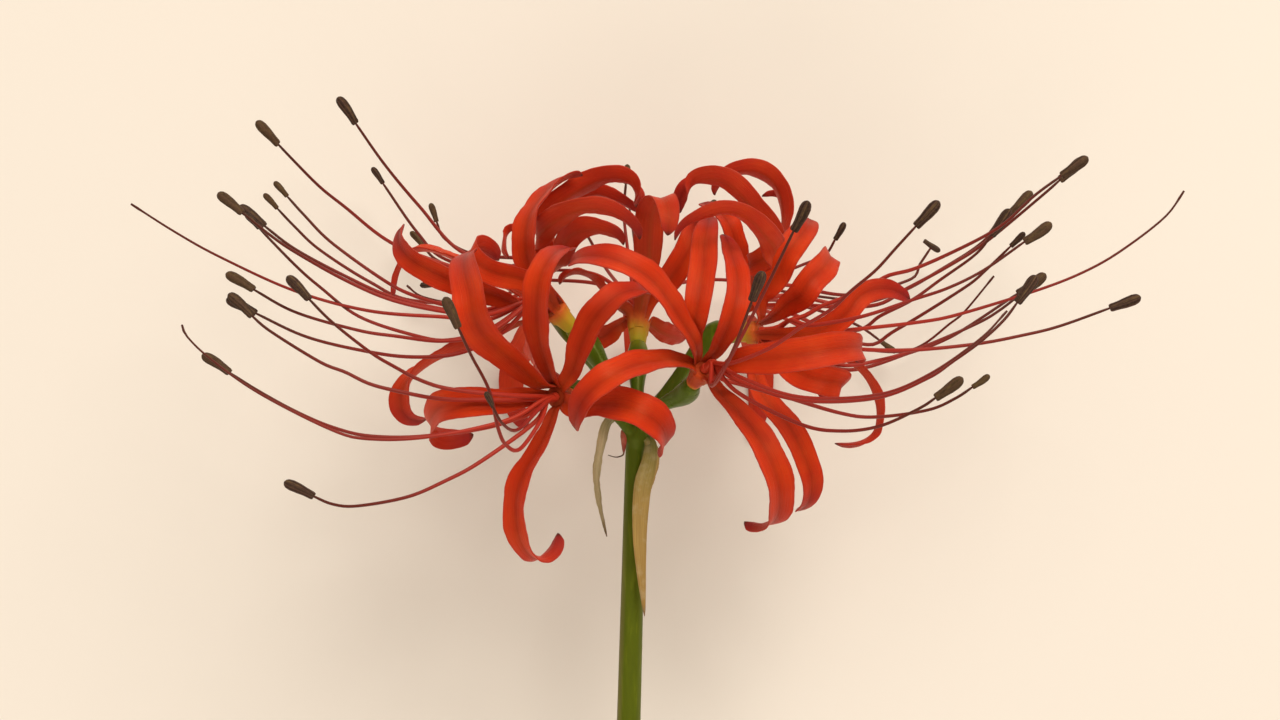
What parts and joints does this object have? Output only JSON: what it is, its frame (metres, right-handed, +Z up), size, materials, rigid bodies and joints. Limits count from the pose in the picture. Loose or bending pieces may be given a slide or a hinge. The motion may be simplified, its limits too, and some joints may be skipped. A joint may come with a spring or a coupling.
{
  "type": "red spider lily",
  "caption": "Cut red spider lily lying on its back, a leafless green scape that carries an umbel of recurved red florets with long stamens",
  "frame": {"origin": "Centre of the bounding box in X and Y, on the surface the flower lies on in Z", "axes": "+Y runs from the cut end of the scape towards the umbel, +X is the flower's right as seen from above, +Z is up"},
  "size_m": [0.21, 0.3194, 0.0982],
  "materials": {
    "scape": "smooth waxy green stalk, paler at its left side",
    "bract": "dry papery straw",
    "perianth": "satin petal, orange red with darker channels",
    "stamen": "smooth thread, pink red at the foot and maroon towards the anther"
  },
  "bodies": {
    "root": {"scape": "scape", "spathe_bract_left": "bract", "spathe_bract_right": "bract", "perianth_front_left": "perianth", "perianth_front_right": "perianth", "perianth_left": "perianth", "perianth_right": "perianth", "perianth_back_left": "perianth", "perianth_back_right": "perianth", "perianth_back": "perianth", "stamens_front_left": "stamen", "stamens_front_right": "stamen", "stamens_left": "stamen", "stamens_right": "stamen", "stamens_back_left": "stamen", "stamens_back_right": "stamen", "stamens_back": "stamen"}
  },
  "joints": []
}
